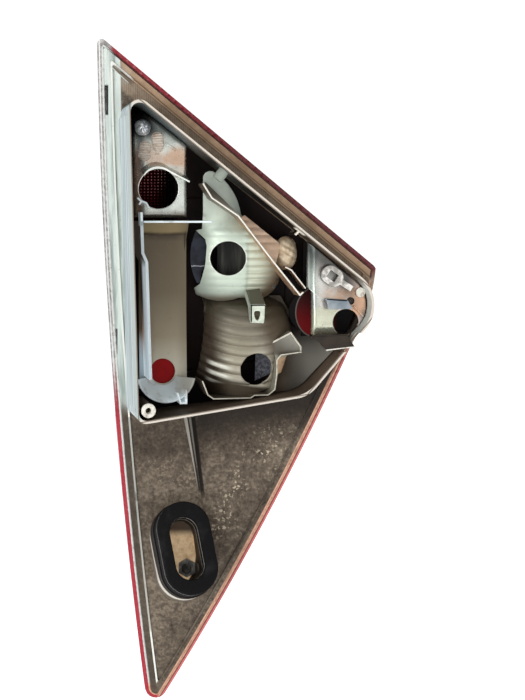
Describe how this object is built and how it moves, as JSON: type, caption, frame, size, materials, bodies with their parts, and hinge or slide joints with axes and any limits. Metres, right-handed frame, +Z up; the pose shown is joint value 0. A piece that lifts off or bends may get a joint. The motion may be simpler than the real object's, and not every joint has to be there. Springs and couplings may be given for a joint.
{
  "type": "tail light cluster",
  "caption": "Triangular rear lamp cluster with a red lens, an open bulb chamber of fluted and metallised reflectors, a flat lower pan and an oval sealed fixing boss.",
  "frame": {"origin": "mouth of the locating bush, on the plane of the chamber rim that seats on the car body", "axes": "+X outboard, +Y out through the lens, +Z up as fitted"},
  "size_m": [0.2135, 0.0951, 0.5312],
  "materials": {
    "housing_plastic": "moulded, dusty",
    "bush_plastic": "moulded",
    "gasket_foam": "closed-cell foam",
    "fixing_steel": "dull",
    "red_lens": "polished",
    "clear_lens": "polished",
    "seal_bead": "bead",
    "red_prism": "prismatic",
    "metallised": "vacuum-metallised plastic",
    "stake_metal": "bright",
    "red_optic": "pillow grid",
    "beige_reflector": "lacquered",
    "pale_reflector": "lacquered",
    "smoked_optic": "smoked",
    "grained_optic": "grained",
    "clip_steel": "bent sheet"
  },
  "bodies": {
    "root": {"housing": "housing_plastic", "locating_bush": "bush_plastic", "boss_gasket": "gasket_foam", "fixing_nut": "fixing_steel", "fixing_stud": "fixing_steel", "red_lens": "red_lens", "clear_lens": "clear_lens", "lens_seal": "seal_bead", "reflex_reflector": "red_prism", "tail_reflector": "metallised", "corner_reflector": "metallised", "reflector_stake": "stake_metal", "tail_optic": "red_optic", "side_optic": "red_optic", "corner_optic": "red_optic", "side_reflector": "beige_reflector", "reversing_reflector": "beige_reflector", "indicator_reflector": "pale_reflector", "indicator_optic": "smoked_optic", "indicator_screen": "smoked_optic", "reversing_optic": "grained_optic", "corner_clip": "clip_steel"}
  },
  "joints": []
}
